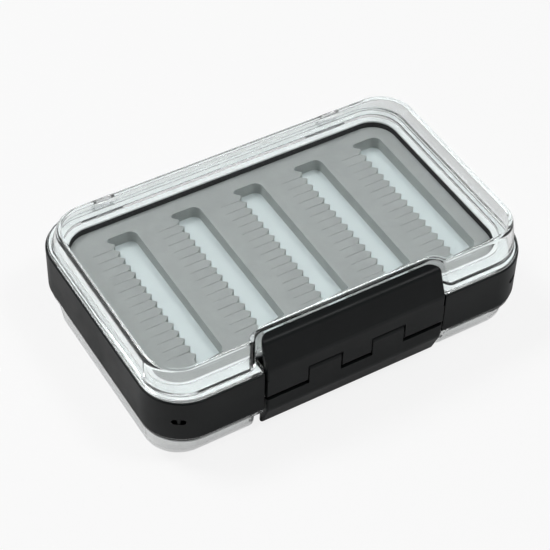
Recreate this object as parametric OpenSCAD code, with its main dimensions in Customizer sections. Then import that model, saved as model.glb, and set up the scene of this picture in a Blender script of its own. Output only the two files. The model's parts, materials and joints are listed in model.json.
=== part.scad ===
// Double-sided fly box: a black frame with a pale divider, slotted foam on both
// sides of it, a clear hinged lid over each foam and a pair of latches on one pin.
// X runs along the box, -Y is the latch side, +Z is up. The origin is on the
// surface that the box lies on, under the middle of its outline.

/* [Frame] */
// Length of the frame
body_l = 152; // [140:1:170]
// Depth of the frame, latch side to hinge side
body_d = 101; // [95:1:115]
// Height of the frame band
body_h = 18.4; // [17:0.2:22]
// Corner radius of the frame
body_r = 16.4; // [15:0.2:20]
// Thickness of the frame's side walls
side_wall = 7.2; // [6.4:0.2:9]
// Wall left between the latch notch and the divider's groove
notch_wall = 0.9; // [0.8:0.1:2]
// Thickness of the frame's wall on the hinge side
back_wall = 9.5; // [8.5:0.5:12]
// Corner radius of the frame's opening
opening_r = 10; // [8:0.5:11]
// Depth of the step that the gasket lies in
gasket_step = 0.5; // [0.3:0.1:0.8]

/* [Divider and foam] */
// Thickness of the divider panel
panel_t = 2.6; // [2:0.1:3.2]
// How far the divider reaches into the frame's groove
panel_bite = 2.2; // [1.5:0.1:2.8]
// Thickness of the adhesive sheet under each foam
glue_t = 0.2; // [0.1:0.1:0.5]
// Thickness of each foam
foam_t = 5; // [4:0.2:6]
// Gap round the foam
foam_gap = 0.3; // [0.1:0.1:1]
// Number of slots in each foam
slot_count = 5; // [2:1:5]
// Spacing of the slots
slot_pitch = 26.2; // [20:0.1:27]
// Width of a slot, from the roots of its teeth to its plain side
slot_w = 11; // [8:0.1:13]
// Length of a slot
slot_len = 67.6; // [50:0.2:72]
// Corner radius at a slot's plain side
slot_r = 3; // [2:0.25:4]
// Corner radius at a slot's toothed side
slot_tooth_r = 1.5; // [1:0.25:3]
// Spacing of the teeth along a slot
tooth_pitch = 4.02; // [3:0.02:6]
// Depth of the teeth
tooth_depth = 1.4; // [0.8:0.1:2]
// Length of the slits that start between the teeth
slit_len = 8; // [4:0.5:10]
// Width of a slit
slit_w = 0.3; // [0.2:0.05:0.5]

/* [Lids] */
// Height of a lid above its seat
lid_h = 12.4; // [10:0.2:18]
// Wall thickness of the lids
lid_wall = 2; // [1.6:0.1:2.6]
// Thickness of the lid's flange
flange_t = 1.6; // [1.2:0.1:2.2]
// How far the flange stays inside the frame's outline
flange_inset = 0.9; // [0.6:0.1:1.5]
// How far it stays inside on the hinge side
flange_back = 1.6; // [1.2:0.1:2.4]
// Step from the flange's edge to the foot of the wall
flange_lip = 0.6; // [0.3:0.1:1]
// How far a side wall leans in
lean_side = 0.5; // [0.3:0.1:2]
// How far the wall on the latch side leans in
lean_front = 3; // [1:0.2:4]
// How far the wall on the hinge side leans in
lean_back = 6; // [3:0.2:8]
// Rounding of the lid's top edge
lid_edge_r = 1.2; // [0.8:0.1:2]
// Gap between the frame and a shut lid
lid_gap = 0.2; // [0.15:0.05:0.4]

/* [Latches] */
// Width of the latches
latch_w = 72; // [60:1:80]
// Thickness of a latch plate
latch_t = 2.4; // [2:0.1:3]
// How far a latch stands proud of the frame
latch_proud = 0.6; // [0.3:0.1:1.2]
// How far a latch's top edge stays below the lid's top
latch_below = 1; // [0.6:0.1:2]
// How far a latch's face leans in above its bend
latch_lean = 3.4; // [2:0.2:4]
// Height of the bend above the pin
latch_bend = 10; // [8:0.5:12]
// Depth of a latch from its face to the end of its lip
latch_depth = 8.5; // [8:0.1:9]
// Corner radius of a latch's lip, seen from above
latch_r = 5; // [3:0.5:7]
// Outer radius of the latch knuckles
knuckle_r = 3.75; // [3.2:0.05:4]
// Length of the middle knuckle
knuckle_mid = 11.8; // [8:0.2:14]
// Length of the two knuckles beside it
knuckle_next = 12.8; // [10:0.2:16]
// Gap at the ends of the knuckles and under the plates
knuckle_gap = 0.4; // [0.3:0.05:0.6]
// Gap between a latch and what it moves past
latch_gap = 0.5; // [0.3:0.1:0.8]
// Diameter of the latch pin
latch_pin_d = 2; // [1.6:0.1:2.4]
// How far the latch pin's bore reaches into the frame at each end
latch_pin_bite = 5; // [3:0.5:8]

/* [Lid hinges] */
// Distance between the middles of the two hinges
hinge_span = 96; // [80:1:110]
// Length of a lid's knuckle
hinge_lid_len = 6; // [5:0.5:9]
// Length of each frame knuckle beside it
hinge_frame_len = 5; // [4:0.5:8]
// Radius of the hinge knuckles
hinge_r = 2.9; // [2.5:0.1:3.1]
// Diameter of the hinge pins
hinge_pin_d = 2; // [1.6:0.1:2.2]
// How far the knuckles stand out behind the frame
hinge_proud = 2.7; // [2.4:0.1:3.2]
// How far the knuckles stay below the frame's rim
hinge_below = 0.3; // [0.1:0.1:0.6]
// Gap at the ends of a lid's knuckle
hinge_gap = 0.25; // [0.2:0.05:0.5]
// Running clearance round a pin, on the radius
pin_clear = 0.05; // [0.02:0.01:0.1]

/* [Cord eyes] */
// Width of the pocket in the front corners
eye_w = 6; // [5:0.5:8]
// Height of the pocket
eye_h = 2.8; // [2.4:0.2:5]
// Depth of the pocket
eye_depth = 4; // [3.4:0.2:4.6]
// Diameter of the post across it
eye_post_d = 1.5; // [1.2:0.1:2.2]
// Direction of the pocket, from straight ahead
eye_angle = 33; // [25:1:45]

/* [Hidden] */
$fn = 96;
hull_fn = 32;
arc_steps = 6;
eps = 0.01;

// Heights are measured from the mid-plane, which both halves mirror each other in
half_h = body_h / 2;
lid_seat = half_h + lid_gap;
lid_top = lid_seat + lid_h;
lift = lid_top;
// Distances back from the frame's front face; body_y carries them to the origin
outline_d = latch_proud + body_d + hinge_proud;
body_y = latch_proud - outline_d / 2;

pin_y = knuckle_r - latch_proud;
notch_half = latch_w / 2 + latch_gap;
notch_d = pin_y + knuckle_r + latch_gap;

front_wall = notch_d + notch_wall + panel_bite;
open_l = body_l - 2 * side_wall;
open_d = body_d - front_wall - back_wall;
foam_l = open_l - 2 * foam_gap;
foam_d = open_d - 2 * foam_gap;
foam_mid = front_wall + open_d / 2;
foam_base = panel_t / 2 + glue_t;
slot_shift = 1;
tooth_count = floor((slot_len - 2 * slot_tooth_r) / tooth_pitch);
teeth_len = tooth_count * tooth_pitch;
fit_gap = 0.05;
pin_seat = 0.01;
gasket_t = gasket_step + lid_gap - fit_gap;
gasket_inset = flange_inset + 0.4;
gasket_edge = 1;

latch_top = lid_top - latch_below;
lip_end = latch_depth - latch_proud;
latch_edge_r = 1.6;
latch_tilt = 15;
knuckle_near = knuckle_mid / 2 + knuckle_gap;
knuckle_far = knuckle_near + knuckle_next + knuckle_gap;
knuckle_end = latch_w / 2 - knuckle_far;
catch_gap = 0.15;
catch_proud = 0.55;
catch_h = 1.8;
catch_w = latch_w / 2;
catch_drop = 1;
recess_y = lip_end + catch_gap + catch_proud;
recess_r = 4.5;
recess_half = notch_half + 2;
recess_flare = 3;
recess_wall = lid_wall + 0.2;
flange_open = 0.4;
arm_slope = 0.8;
bevel = 1 - cos(45);

hinge_x = hinge_span / 2;
hinge_y = body_d + hinge_proud - hinge_r;
hinge_up = half_h - hinge_below - hinge_r;
hinge_len = hinge_lid_len + 2 * hinge_gap + 2 * hinge_frame_len;
hinge_notch = hinge_lid_len + 2 * hinge_gap;
hinge_clear = 0.35;
eye_sunk = 0.2;
hinge_front = hinge_y - hinge_r - hinge_clear;

foam_grey = "#9c9f9c";
frame_black = "#1f2223";
pale_panel = "#c9d6d8";
gasket_white = "#e3e8e8";
pin_steel = "#b9bcc0";
glue_white = "#dfe3e2";
clear_tint = "#dfe9ec";

// ---- Shared shapes ----

// Points of an arc about (x, y), from angle a0 to a1
function arc(x, y, r, a0, a1, steps = arc_steps) =
    [for (i = [0:steps]) let (a = a0 + (a1 - a0) * i / steps) [x + r * cos(a), y + r * sin(a)]];

// Rounded rectangle: l along X about 0, from y0 to y0 + d
module rounded(l, d, y0, r) {
    translate([-l / 2 + r, y0]) square([l - 2 * r, d]);
    translate([-l / 2, y0 + r]) square([l, d - 2 * r]);
    for (sx = [-1, 1], y = [y0 + r, y0 + d - r])
        translate([sx * (l / 2 - r), y]) circle(r);
}

// Turns a (y, z) outline into a bar of length len along X, about x = 0
module bar(len) {
    rotate([90, 0, 90]) translate([0, 0, -len / 2]) linear_extrude(len) children();
}

// Cylinder along X, about x = 0
module rod(r, len) {
    rotate([0, 90, 0]) cylinder(r = r, h = len, center = true);
}

// Puts a half that is drawn above the mid-plane in its place: up 1 or down -1
module placed(side = 1) {
    translate([0, body_y, lift])
        if (side == 1) children();
        else mirror([0, 0, 1]) children();
}

// ---- Frame ----

// Ring between the opening and the lid's edge, grown by gap at its outer edges
module gasket_outline(gap = 0) {
    inset = gasket_inset - gap;
    edge = gasket_edge - gap;
    difference() {
        rounded(body_l - 2 * inset, body_d - 2 * inset, inset, body_r - inset);
        rounded(open_l, open_d, front_wall, opening_r);
        translate([-notch_half - edge, 0]) square([2 * (notch_half + edge), notch_d + edge]);
        for (sx = [-1, 1])
            translate([sx * hinge_x - hinge_notch / 2 - edge, hinge_front - edge])
                square([hinge_notch + 2 * edge, back_wall]);
    }
}

module frame_half() {
    difference() {
        linear_extrude(half_h) difference() {
            rounded(body_l, body_d, 0, body_r);
            rounded(open_l, open_d, front_wall, opening_r);
        }
        translate([0, 0, -eps]) linear_extrude(panel_t / 2 + eps)
            rounded(open_l + 2 * panel_bite, open_d + 2 * panel_bite,
                front_wall - panel_bite, opening_r + panel_bite);
        translate([0, 0, half_h - gasket_step]) linear_extrude(gasket_step + eps)
            gasket_outline(fit_gap);
        translate([-notch_half, -1, -eps]) cube([2 * notch_half, notch_d + 1, half_h + 1]);
        for (sx = [-1, 1])
            translate([sx * hinge_x - hinge_notch / 2, hinge_front, hinge_up - hinge_r - hinge_clear])
                cube([hinge_notch, back_wall, body_h]);
    }
    for (sx = [-1, 1], end = [-1, 1])
        translate([sx * hinge_x + end * (hinge_len - hinge_frame_len) / 2, hinge_y, hinge_up])
            rod(hinge_r, hinge_frame_len);
}

// Pocket and post that a lanyard cord goes round, at one front corner
module cord_eye_cut() {
    translate([body_l / 2 - body_r, body_r, 0]) rotate([0, 0, eye_angle]) difference() {
        translate([-eye_w / 2, -body_r - eye_post_d, -eye_h / 2])
            cube([eye_w, eye_depth + eye_post_d, eye_h]);
        translate([0, -body_r + eye_post_d / 2 + eye_sunk, 0])
            cylinder(d = eye_post_d, h = eye_h + 1, center = true);
    }
}

module frame_ring() {
    color(frame_black) placed() difference() {
        union() {
            frame_half();
            mirror([0, 0, 1]) frame_half();
        }
        translate([0, pin_y, 0]) rod(latch_pin_d / 2, 2 * (notch_half + latch_pin_bite));
        for (sx = [-1, 1], up = [-1, 1])
            translate([sx * hinge_x, hinge_y, up * hinge_up]) rod(hinge_pin_d / 2, hinge_len + 1);
        cord_eye_cut();
        mirror([1, 0, 0]) cord_eye_cut();
    }
}

module divider_panel() {
    color(pale_panel) placed() translate([0, 0, -panel_t / 2]) linear_extrude(panel_t)
        rounded(open_l + 2 * (panel_bite - fit_gap), open_d + 2 * (panel_bite - fit_gap),
            front_wall - panel_bite + fit_gap, opening_r + panel_bite - fit_gap);
}

// ---- Foam ----

// One tooth whose upper root is at height y, with the slit that starts at that root
function tooth(y, left, slit) = concat(
    slit > 0
        ? [[left, y + slit_w / 2], [left - slit, y + slit_w / 2],
            [left - slit, y - slit_w / 2], [left, y - slit_w / 2]]
        : [[left, y]],
    [[left + tooth_depth, y - tooth_pitch / 2]]);

// Outline of a slot about (0, 0), with teeth on its left side
module slot_outline(slits = true) {
    left = -slot_shift;
    right = left + slot_w;
    end = slot_len / 2;
    polygon(concat(
        arc(right - slot_r, -end + slot_r, slot_r, -90, 0),
        arc(right - slot_r, end - slot_r, slot_r, 0, 90),
        arc(left + slot_tooth_r, end - slot_tooth_r, slot_tooth_r, 90, 180 - 90 / arc_steps,
            arc_steps - 1),
        [for (i = [0:tooth_count - 1])
            each tooth(teeth_len / 2 - i * tooth_pitch, left, slits && i > 0 ? slit_len : 0)],
        [[left, -teeth_len / 2]],
        arc(left + slot_tooth_r, -end + slot_tooth_r, slot_tooth_r, 180 + 90 / arc_steps, 270,
            arc_steps - 1)
    ));
}

module foam_outline(slits) {
    difference() {
        rounded(foam_l, foam_d, front_wall + foam_gap, opening_r - foam_gap);
        for (i = [0:slot_count - 1])
            translate([(i - (slot_count - 1) / 2) * slot_pitch, foam_mid]) slot_outline(slits);
    }
}

module foam(side) {
    color(foam_grey) placed(side) translate([0, 0, foam_base]) linear_extrude(foam_t)
        foam_outline(true);
}

module adhesive(side) {
    color(glue_white) placed(side) translate([0, 0, panel_t / 2]) linear_extrude(glue_t)
        foam_outline(false);
}

module gasket(side) {
    color(gasket_white) placed(side) translate([0, 0, half_h - gasket_step])
        linear_extrude(gasket_t) gasket_outline();
}

// ---- Lids ----

// Outline of the lid's wall, pulled in by an inset: its foot at lean 0, its top at lean 1
module wall_outline(lean, inset) {
    side = flange_inset + flange_lip + lean * lean_side + inset;
    front = flange_inset + flange_lip + lean * lean_front + inset;
    back = flange_back + flange_lip + lean * lean_back + inset;
    r = body_r - flange_inset - flange_lip - lean * lean_front / 2 - inset;
    rounded(body_l - 2 * side, body_d - front - back, front, r, $fn = hull_fn);
}

// Leaning block from height z0 to z1, with an edge radius at its top
module lid_block(z0, z1, inset, edge) {
    hull() {
        translate([0, 0, z0]) linear_extrude(eps) wall_outline(0, inset);
        translate([0, 0, z1 - edge]) linear_extrude(eps) wall_outline(1, inset);
        translate([0, 0, z1 - edge * bevel]) linear_extrude(eps)
            wall_outline(1, inset + edge * bevel);
        translate([0, 0, z1 - eps]) linear_extrude(eps) wall_outline(1, inset + edge);
    }
}

// Room for the latch in the lid's front wall, grown by g
module latch_room(g = 0) {
    x = recess_half + g;
    y = recess_y + g;
    r = recess_r + g;
    linear_extrude(lid_top + 1) polygon(concat(
        [[-x - recess_flare, -1], [-x, y - r]],
        arc(-x + r, y - r, r, 180, 90),
        arc(x - r, y - r, r, 90, 0),
        [[x + recess_flare, -1]]
    ));
}

module flange_outline() {
    difference() {
        rounded(body_l - 2 * flange_inset, body_d - flange_inset - flange_back, flange_inset,
            body_r - flange_inset);
        rounded(open_l + 2 * flange_open, open_d + 2 * flange_open, front_wall - flange_open,
            opening_r + flange_open);
        translate([-notch_half, 0]) square([2 * notch_half, recess_y]);
    }
}

// Arm that joins the lid's flange to its knuckle
module hinge_arm() {
    root = body_d - back_wall / 2;
    bar(hinge_lid_len) polygon([
        [hinge_y - hinge_r, hinge_up], [hinge_y + hinge_r, hinge_up],
        [hinge_y + hinge_r - arm_slope, lid_seat], [hinge_y - arm_slope, lid_seat + flange_t],
        [root, lid_seat + flange_t], [root, lid_seat], [hinge_y - hinge_r, lid_seat]
    ]);
    translate([0, hinge_y, hinge_up]) rod(hinge_r, hinge_lid_len);
}

module lid(side) {
    color(clear_tint, 0.35) placed(side) difference() {
        union() {
            difference() {
                lid_block(lid_seat, lid_top, 0, lid_edge_r);
                latch_room();
                difference() {
                    lid_block(lid_seat - 1, lid_top - lid_wall, lid_wall, lid_edge_r / 2);
                    latch_room(recess_wall);
                }
            }
            translate([0, 0, lid_seat]) linear_extrude(flange_t) flange_outline();
            translate([-catch_w / 2, lip_end + catch_gap, latch_top - latch_t - catch_drop - catch_h])
                cube([catch_w, catch_proud + lid_wall / 2, catch_h]);
            for (sx = [-1, 1]) translate([sx * hinge_x, 0, 0]) hinge_arm();
        }
        for (sx = [-1, 1])
            translate([sx * hinge_x, hinge_y, hinge_up])
                rod(hinge_pin_d / 2 + pin_clear, hinge_lid_len + 1);
    }
}

// ---- Latches ----

// Cross-section of a latch plate from height z0 up to its lip
module latch_section(z0) {
    face = -latch_proud;
    top = latch_top;
    polygon(concat(
        [[face + latch_t, z0], [face, z0], [face, latch_bend]],
        arc(face + latch_lean + latch_edge_r, top - latch_edge_r, latch_edge_r,
            180 - latch_tilt, 90),
        [[lip_end, top], [lip_end, top - latch_t]],
        [[face + latch_lean + latch_t, top - latch_t], [face + latch_t, latch_bend]]
    ));
}

// Top view of a latch: rounded at the corners of its lip
module latch_plan() {
    r = latch_r;
    x = latch_w / 2;
    face = -latch_proud - eps;
    polygon(concat(
        [[x, face]], arc(x - r, lip_end - r, r, 0, 90, 12),
        arc(-x + r, lip_end - r, r, 90, 180, 12), [[-x, face]]
    ));
}

// One latch, drawn upwards; knuckles lists each knuckle's middle and length
module latch_part(knuckles) {
    plate_z = knuckle_r + knuckle_gap;
    difference() {
        union() {
            intersection() {
                bar(latch_w) latch_section(plate_z);
                translate([0, 0, plate_z - eps]) linear_extrude(latch_top) latch_plan();
            }
            for (k = knuckles) translate([k[0], 0, 0]) {
                bar(k[1]) polygon([[-latch_proud, 0], [-latch_proud, plate_z + eps],
                    [-latch_proud + latch_t, plate_z + eps], [pin_y, 0]]);
                translate([0, pin_y, 0]) rod(knuckle_r, k[1]);
            }
        }
        translate([0, pin_y, 0]) rod(latch_pin_d / 2 + pin_clear, latch_w + 1);
    }
}

module upper_latch() {
    color(frame_black) placed() latch_part(concat([[0, knuckle_mid]],
        [for (sx = [-1, 1]) [sx * (knuckle_far + knuckle_end / 2), knuckle_end]]));
}

module lower_latch() {
    color(frame_black) placed(-1) latch_part(
        [for (sx = [-1, 1]) [sx * (knuckle_near + knuckle_next / 2), knuckle_next]]);
}

// ---- Pins ----

module latch_pin() {
    color(pin_steel) placed() translate([0, pin_y, 0])
        rod(latch_pin_d / 2 - pin_seat, 2 * (notch_half + latch_pin_bite - fit_gap));
}

module hinge_pin(sx, up) {
    color(pin_steel) placed() translate([sx * hinge_x, hinge_y, up * hinge_up])
        rod(hinge_pin_d / 2 - pin_seat, hinge_len);
}

frame_ring();
divider_panel();
adhesive(1);  // upper_adhesive
adhesive(-1);  // lower_adhesive
foam(1);  // upper_foam
foam(-1);  // lower_foam
gasket(1);  // upper_gasket
gasket(-1);  // lower_gasket
lid(1);  // upper_lid
lid(-1);  // lower_lid
upper_latch();
lower_latch();
latch_pin();
hinge_pin(-1, 1);  // upper_hinge_pin_left
hinge_pin(1, 1);  // upper_hinge_pin_right
hinge_pin(-1, -1);  // lower_hinge_pin_left
hinge_pin(1, -1);  // lower_hinge_pin_right
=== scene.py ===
"""A double-sided fly box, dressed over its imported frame: clear moulded lids, die-cut foam
with toothed slots, a black frame and two black latches on one pin.

The shape functions work in metres in the box's own layout: x along the box from its
middle, y back from the frame's front face, z up from the mid-plane. in_place() moves such
points to the row frame, and mirrors them down for the lower half."""

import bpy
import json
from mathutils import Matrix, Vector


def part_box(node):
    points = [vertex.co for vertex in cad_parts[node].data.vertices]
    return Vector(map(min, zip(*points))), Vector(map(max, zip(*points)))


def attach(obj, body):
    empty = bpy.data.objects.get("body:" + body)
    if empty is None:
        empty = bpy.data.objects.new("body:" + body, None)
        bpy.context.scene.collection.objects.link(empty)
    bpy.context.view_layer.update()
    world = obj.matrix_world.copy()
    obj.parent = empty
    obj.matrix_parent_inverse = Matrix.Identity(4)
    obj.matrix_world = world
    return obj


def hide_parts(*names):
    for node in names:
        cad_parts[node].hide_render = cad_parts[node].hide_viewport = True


bl_info = {
    "name": "Fly Box",
    "version": (1, 0, 0),
    "blender": (4, 5, 0),
    "location": "3D View > Sidebar > Fly Box",
    "description": "Builds the lids, foam, frame and latches of a double-sided fly box",
    "category": "Add Mesh",
}

import json
from math import cos, pi, radians, sin, tan

import bmesh
import bpy
import numpy as np
from bpy.props import FloatProperty, FloatVectorProperty, IntProperty, PointerProperty
from mathutils import Matrix, Vector
from mathutils.geometry import tessellate_polygon

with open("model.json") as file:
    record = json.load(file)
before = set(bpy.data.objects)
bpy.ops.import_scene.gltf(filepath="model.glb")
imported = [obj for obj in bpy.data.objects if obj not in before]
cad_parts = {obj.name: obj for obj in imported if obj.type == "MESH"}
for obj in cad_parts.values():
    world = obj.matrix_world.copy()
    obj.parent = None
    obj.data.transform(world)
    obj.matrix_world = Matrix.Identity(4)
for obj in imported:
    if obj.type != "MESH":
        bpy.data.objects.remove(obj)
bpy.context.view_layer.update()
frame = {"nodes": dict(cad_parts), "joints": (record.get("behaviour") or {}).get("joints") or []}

MM = 0.001

# Places in the box's layout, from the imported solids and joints
RING_LOW, RING_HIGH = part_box("frame_ring")
LID_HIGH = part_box("upper_lid")[1]
FRONT_Y = RING_LOW.y
MID_Z = (RING_LOW.z + RING_HIGH.z) / 2
HALF_L = RING_HIGH.x
HALF_H = (RING_HIGH.z - RING_LOW.z) / 2
LID_TOP = LID_HIGH.z - MID_Z
LATCH_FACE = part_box("upper_latch")[0].y - FRONT_Y
LATCH_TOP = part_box("upper_latch")[1].z - MID_Z
LATCH_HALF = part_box("upper_latch")[1].x
LIP_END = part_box("upper_latch")[1].y - FRONT_Y
FOAM_LOW, FOAM_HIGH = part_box("upper_foam")
PANEL_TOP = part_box("divider_panel")[1].z - MID_Z
HINGE = {j["child"]: Vector(j["pos_m"]) for j in frame["joints"]}
HINGE_Y = HINGE["top_lid"].y - FRONT_Y
HINGE_Z = HINGE["top_lid"].z - MID_Z
PIN_Y = HINGE["top_latch"].y - FRONT_Y
SIDES = (("upper", "top", 1), ("lower", "bottom", -1))

# Points along a large and a small rounding
ARC_POINTS = 33
SMALL_ARC = 7
# Edges that bend more than this stay sharp in the shading
SMOOTH_ANGLE = radians(32)
# A corner that counts as sharp still has this radius
LEAST_RADIUS = 0.05 * MM
# Points closer than this are welded before edges are rounded
WELD = 0.002 * MM
# Rounding of the moulded frame's and latches' edges
SOFT_EDGE = 0.35 * MM
# How far a cut, or a shape that is joined on, runs past the face that it meets
PAST = 1 * MM


# ---- Sizes and colours a user would change ----


def length(name, description, millimetres):
    """A size that is written in millimetres and kept in metres."""
    return FloatProperty(name=name, description=description, default=millimetres * MM,
                         min=0.0, unit="LENGTH", subtype="DISTANCE", precision=4)


def linear(colour):
    """sRGB hex, such as #1f2223, as linear red, green and blue."""
    values = [int(colour[i:i + 2], 16) / 255 for i in (1, 3, 5)]
    return [v / 12.92 if v <= 0.04045 else ((v + 0.055) / 1.055) ** 2.4 for v in values]


def colour(name, description, hexadecimal):
    """A colour that is written as sRGB hex and kept linear."""
    return FloatVectorProperty(name=name, description=description, default=linear(hexadecimal),
                               size=3, min=0.0, max=1.0, subtype="COLOR")


class FlyBoxSizes(bpy.types.PropertyGroup):
    """Sizes of the moulded, cut and turned pieces."""

    body_depth: length("Depth", "Depth of the frame, latch side to hinge side", 101)
    corner_radius: length("Corner radius", "Radius of the frame's upright corners", 16.4)
    side_wall: length("Side wall", "Thickness of the frame's side walls", 7.2)
    front_wall: length("Front wall", "Thickness of the frame's wall behind the latches", 10.5)
    back_wall: length("Back wall", "Thickness of the frame's wall at the hinges", 9.5)
    opening_radius: length("Opening radius", "Corner radius of the frame's opening", 10)
    rim_radius: length("Rim radius", "Rounding of the frame's outer rims", 0.6)
    groove_depth: length("Groove", "How far the divider reaches into the frame", 2.2)
    seal_inset: length("Seal inset", "From the frame's outline to the seal's step", 1.25)
    seal_step: length("Seal step", "Depth of the step that the seal lies in", 0.5)
    lid_gap: length("Lid gap", "Gap between the frame and a shut lid", 0.2)
    lid_wall: length("Lid wall", "Thickness of the lids", 2)
    lid_edge: length("Lid edge", "Rounding of a lid's top edge", 2)
    flange: length("Flange", "Thickness of a lid's flange", 1.6)
    flange_inset: length("Flange inset", "From the frame's outline to the flange", 0.5)
    flange_back: length("Flange inset, back", "The same on the hinge side", 1.2)
    flange_lip: length("Flange lip", "From the flange's edge to the foot of the wall", 1)
    lean_side: length("Side lean", "How far a lid's side walls lean in", 0.5)
    lean_front: length("Front lean", "How far a lid's front wall leans in", 3)
    lean_back: length("Back lean", "How far a lid's back wall leans in", 6)
    recess_half: length("Recess", "Half the width of the latch recess at its back", 35.8)
    recess_y: length("Recess depth", "From the frame's front to the back of the recess", 8.6)
    slot_pitch: length("Slot pitch", "Spacing of the foam's slots", 26.2)
    slot_width: length("Slot width", "From the roots of the teeth to the plain side", 11.3)
    slot_length: length("Slot length", "Length of a slot", 67.6)
    tooth_pitch: length("Tooth pitch", "Spacing of the teeth", 4.02)
    tooth_depth: length("Tooth depth", "Depth of the teeth", 1.9)
    slit_length: length("Slit length", "Length of the knife cuts between the teeth", 8)
    latch_thickness: length("Latch thickness", "Thickness of a latch plate", 2.4)
    latch_bend: length("Latch bend", "Height above the pin at which a plate leans back", 10)
    latch_lean: length("Latch lean", "How far a plate leans back above its bend", 3.4)
    latch_corner: length("Latch corner", "Corner radius of a latch's lip, from above", 5)
    latch_edge: length("Latch edge", "Rounding along a latch's edges", 0.8)
    knuckle_radius: length("Knuckle radius", "Radius of the latch knuckles", 3.75)
    hinge_radius: length("Hinge radius", "Radius of the lid hinge knuckles", 2.9)
    pin_radius: length("Pin radius", "Radius of the pins", 1)
    slot_count: IntProperty(name="Slots", description="Number of slots in each foam", default=5)
    tooth_count: IntProperty(name="Teeth", description="Teeth along each slot", default=16)


class FlyBoxColours(bpy.types.PropertyGroup):
    """Colours of the finishes."""

    frame: colour("Frame", "Black moulded frame and latches", "#131617")
    foam: colour("Foam", "Grey foam", "#999d9c")
    # Paler colour of the steep foam faces: painted light on the slot walls, and painted highlights
    # along the knife cuts
    foam_wall_and_highlight: colour("Cut foam", "Walls of the foam's slots", "#a3a8a6")
    panel: colour("Divider", "Pale divider under the slots", "#cdd7d8")
    lid: colour("Lid", "Clear lid", "#f8f9f9")
    seal: colour("Seal", "Soft white seal", "#e6eaea")
    glue: colour("Adhesive", "Edge of the adhesive sheet", "#dfe3e2")
    steel: colour("Pins", "Stainless wire of the pins", "#b9bcc0")
    floor: colour("Floor", "Floor of the studio", "#fbfbfb")


# ---- Outlines and surfaces ----


def outline(corners, radii, inset=0.0, points=ARC_POINTS):
    """Closed outline round a polygon that is given counter-clockwise, moved inwards by inset.
    Every side is shifted along its normal, and every corner is the arc that touches both of
    its sides: radius less inset where it bends outwards, radius plus inset where it bends in."""
    corner = np.asarray(corners, float)
    before = corner - np.roll(corner, 1, axis=0)
    before /= np.linalg.norm(before, axis=1, keepdims=True)
    after = np.roll(before, -1, axis=0)
    normal = np.stack([-before[:, 1], before[:, 0]], 1)
    next_normal = np.roll(normal, -1, axis=0)
    turn = np.arctan2(before[:, 0] * after[:, 1] - before[:, 1] * after[:, 0],
                      (before * after).sum(1))
    bend = np.sign(turn)
    corner = corner + inset * (normal + next_normal) / (1 + (normal * next_normal).sum(1))[:, None]
    radius = np.maximum(np.asarray(radii, float) - bend * inset, LEAST_RADIUS)
    spoke = -(bend * radius)[:, None] * normal
    centre = corner - before * (radius * np.tan(np.abs(turn) / 2))[:, None] - spoke
    angle = turn[:, None] * np.linspace(0, 1, points)
    x = centre[:, :1] + spoke[:, :1] * np.cos(angle) - spoke[:, 1:] * np.sin(angle)
    y = centre[:, 1:] + spoke[:, :1] * np.sin(angle) + spoke[:, 1:] * np.cos(angle)
    return np.stack([x, y], -1).reshape(-1, 2)


def rectangle(half_l, y0, y1):
    """Corners of a rectangle about x = 0, counter-clockwise from the front right."""
    return [(half_l, y0), (half_l, y1), (-half_l, y1), (-half_l, y0)]


def at_height(flat, z):
    """A flat outline as points at height z."""
    return np.column_stack([flat, np.full(len(flat), z)])


def quarter(radius, points=SMALL_ARC):
    """A quarter round as pairs of (how far in, how far down), from its top to its side."""
    angle = np.linspace(pi / 2, 0, points)
    return [(radius * (1 - cos(a)), radius * (1 - sin(a))) for a in angle]


def arc(y, z, radius, start, end, points):
    """Points of an arc in the y, z plane, with its angles in degrees."""
    angle = np.radians(np.linspace(start, end, points))
    return np.stack([y + radius * np.cos(angle), z + radius * np.sin(angle)], 1)


def loft(rings, round_again=False):
    """Surface through rings of equally many points: four-sided faces from ring to ring, with
    a flat face on the first and last ring, or closed into a loop of rings."""
    rings = np.asarray(rings, float)
    count, size = rings.shape[:2]
    index = np.arange(count * size).reshape(count, size)
    upper = index if round_again else index[:-1]
    lower = np.roll(index, -1, axis=0) if round_again else index[1:]
    faces = np.stack([upper, lower, np.roll(lower, -1, axis=1), np.roll(upper, -1, axis=1)], -1)
    faces = faces.reshape(-1, 4).tolist()
    if not round_again:
        faces += [index[0].tolist(), index[-1][::-1].tolist()]
    return rings.reshape(-1, 3), faces


def extrusion(profile, x0, x1):
    """A closed (y, z) profile carried along x from x0 to x1."""
    profile = np.asarray(profile, float)
    return loft([np.column_stack([np.full(len(profile), x), profile]) for x in (x0, x1)])


def rod(y, z, radius, x0, x1, chamfer=0.0, points=48):
    """A round bar along x: circles at its ends, narrower by the chamfer at the very ends."""
    circle = arc(0, 0, 1, 0, 360 * (1 - 1 / points), points)
    ends = [(x0, radius - chamfer), (x0 + chamfer, radius), (x1 - chamfer, radius),
            (x1, radius - chamfer)]
    if not chamfer:
        ends = [ends[0], ends[-1]]
    return loft([np.column_stack([np.full(points, x), (y, z) + r * circle]) for x, r in ends])


def merged(*shapes):
    """Several (points, faces) shapes as one."""
    points, faces, start = [], [], 0
    for shape_points, shape_faces in shapes:
        points.append(shape_points)
        faces += [[i + start for i in face] for face in shape_faces]
        start += len(shape_points)
    return np.concatenate(points), faces


def in_place(points, side=1):
    """Points from the box's layout to the row frame; side -1 mirrors them to the lower half."""
    return np.asarray(points) * (1, 1, side) + (0, FRONT_Y, MID_Z)


def put(name, data):
    """A new object in the scene."""
    thing = bpy.data.objects.new(name, data)
    bpy.context.scene.collection.objects.link(thing)
    return thing


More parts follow.
